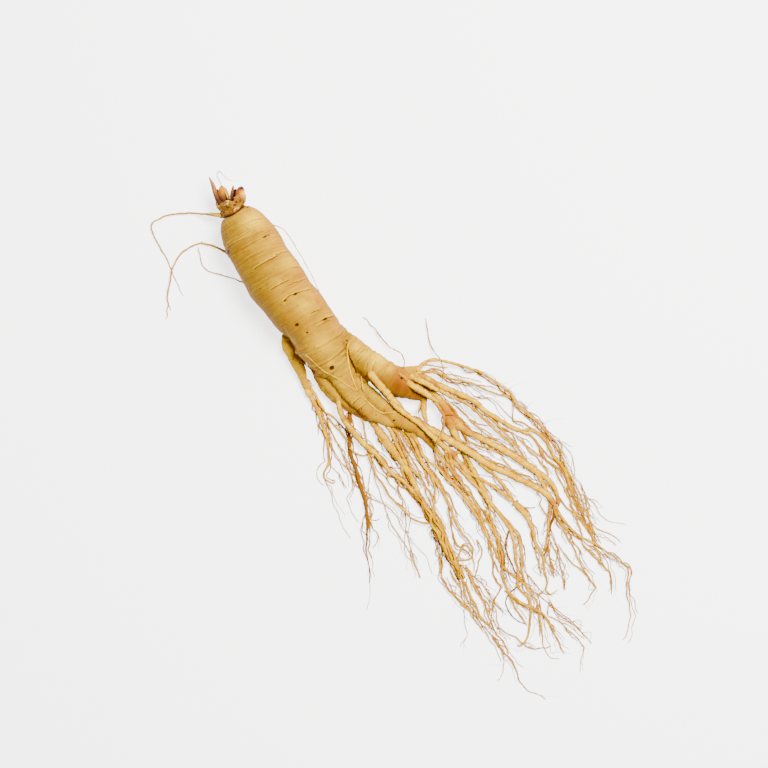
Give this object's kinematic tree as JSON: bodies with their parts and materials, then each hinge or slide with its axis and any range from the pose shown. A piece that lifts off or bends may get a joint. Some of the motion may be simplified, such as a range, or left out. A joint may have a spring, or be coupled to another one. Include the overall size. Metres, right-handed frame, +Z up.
{
  "type": "ginseng root",
  "caption": "Fresh ginseng root lying on its side: ringed tapering body with a scaly crown, forked legs and a long spray of fine rootlets.",
  "frame": {"origin": "bottom centre of the resting box; z = 0 is the surface the root lies on", "axes": "+X along the root from the crown to the rootlet tips, +Z up, +Y to the left of +X seen from above"},
  "size_m": [0.3072, 0.1188, 0.0283],
  "materials": {
    "root_skin": "satin",
    "scale_brown": "matte",
    "scale_amber": "satin",
    "stub_dark": "matte",
    "bud_cream": "satin"
  },
  "bodies": {
    "root": {"ginseng_root": "root_skin", "bud_scale_left": "scale_brown", "bud_scale_amber": "scale_amber", "stem_stub": "stub_dark", "dormant_bud": "bud_cream"}
  },
  "joints": []
}
